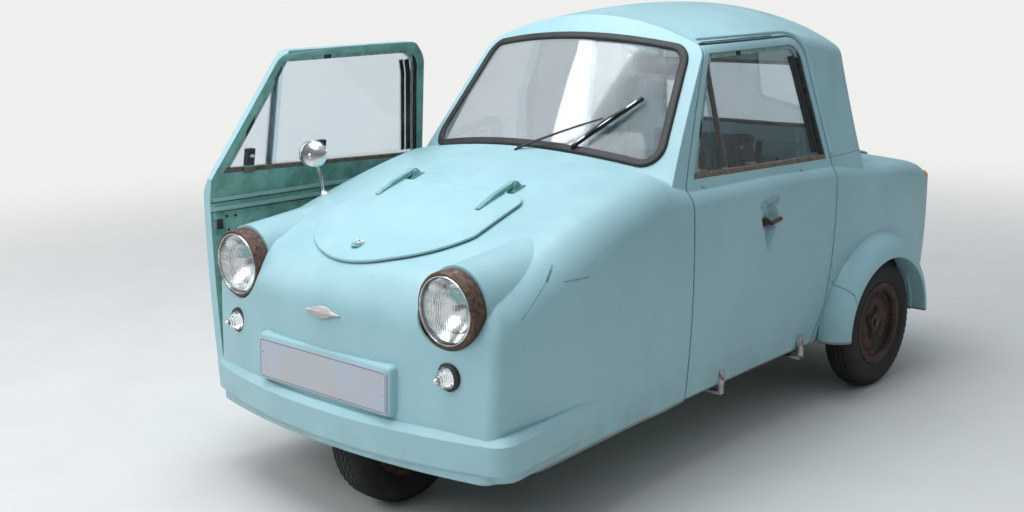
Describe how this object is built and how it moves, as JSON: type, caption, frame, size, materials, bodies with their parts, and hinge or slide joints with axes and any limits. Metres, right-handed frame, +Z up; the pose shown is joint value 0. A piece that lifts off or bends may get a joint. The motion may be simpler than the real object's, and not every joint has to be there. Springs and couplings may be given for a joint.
{
  "type": "three wheeled car",
  "caption": "Small two door car with one steered front wheel, moulded body, round lamps, lids over the nose and the tail, and a slid open right door.",
  "frame": {"origin": "on the floor below the middle of the whole object, the open door counted in", "axes": "-Y is the front, +X is the car's left side, +Z is up"},
  "size_m": [1.3582, 2.5818, 1.376],
  "materials": {
    "paint": "pale turquoise paint on glass fibre, dull with age",
    "worn_paint": "worn green paint on steel",
    "inner_panel": "dull green paint",
    "black_paint": "dull black paint",
    "glass": "clear",
    "lamp_glass": "ribbed clear glass",
    "rubber": "dull",
    "channel": "brown stained channel",
    "rusty_steel": "rusty steel",
    "tail_lens": "amber and red lens",
    "plate": "white plate",
    "chrome": "pitted chrome",
    "black_trim": "black",
    "seat_cover": "dark grey seat cover",
    "engine_metal": "cast",
    "tyre": "road rubber"
  },
  "bodies": {
    "root": {"body_front": "paint", "body_rear": "paint", "roof": "paint", "door_left": "paint", "door_right": "paint", "lid_hinges": "worn_paint", "floor_pan": "inner_panel", "wheel_wells": "black_paint", "front_tray": "inner_panel", "chassis": "black_paint", "towing_eye": "black_paint", "windows": "glass", "door_panes": "glass", "window_seals": "rubber", "door_channels": "channel", "door_handles": "rusty_steel", "door_hooks": "rusty_steel", "door_rails": "rusty_steel", "headlamp_rims": "rusty_steel", "headlamp_lenses": "lamp_glass", "side_lamp_bases": "rubber", "side_lamp_lenses": "lamp_glass", "tail_lamps": "tail_lens", "plates": "plate", "badge": "chrome", "wing_mirror": "chrome", "wiper": "black_trim", "inner_mirror": "black_trim", "dashboard": "inner_panel", "seat_frame": "black_paint", "seat_cushion": "seat_cover", "seat_back": "seat_cover", "rear_arms": "black_paint", "rear_dampers": "black_paint", "engine": "engine_metal"},
    "steering": {"steering_fork": "black_paint"},
    "front_wheel": {"rim_front": "rusty_steel", "tyre_front": "tyre"},
    "rear_wheel_left": {"rim_rear_left": "rusty_steel", "tyre_rear_left": "tyre"},
    "rear_wheel_right": {"rim_rear_right": "rusty_steel", "tyre_rear_right": "tyre"},
    "bonnet_lid": {"bonnet_lid": "paint"},
    "engine_lid": {"engine_lid": "paint"},
    "tiller": {"tiller": "black_trim"}
  },
  "joints": [
    {"name": "steering", "type": "hinge", "parent": "root", "child": "steering", "pos_m": [0.065, -0.987, 0.532], "axis": [0, 0, 1], "range_deg": [-35, 35]},
    {"name": "front_wheel_spin", "type": "hinge", "parent": "steering", "child": "front_wheel", "pos_m": [0.065, -0.987, 0.23], "axis": [1, 0, 0], "continuous": true},
    {"name": "rear_wheel_left_spin", "type": "hinge", "parent": "root", "child": "rear_wheel_left", "pos_m": [0.5895, 0.803, 0.23], "axis": [1, 0, 0], "continuous": true},
    {"name": "rear_wheel_right_spin", "type": "hinge", "parent": "root", "child": "rear_wheel_right", "pos_m": [-0.4595, 0.803, 0.23], "axis": [1, 0, 0], "continuous": true},
    {"name": "bonnet_lid_hinge", "type": "hinge", "parent": "root", "child": "bonnet_lid", "pos_m": [0.065, -0.703, 0.908], "axis": [-1, 0, 0], "range_deg": [0, 65]},
    {"name": "engine_lid_hinge", "type": "hinge", "parent": "root", "child": "engine_lid", "pos_m": [0.065, 0.863, 0.84], "axis": [1, 0, 0], "range_deg": [0, 65]},
    {"name": "tiller_turn", "type": "hinge", "parent": "root", "child": "tiller", "pos_m": [0.065, -0.633, 0.64], "axis": [0, 0.8192, 0.5735], "range_deg": [-35, 35]}
  ],
  "couplings": [
    {"joint": "tiller_turn", "follows": "steering", "ratio": 1}
  ]
}
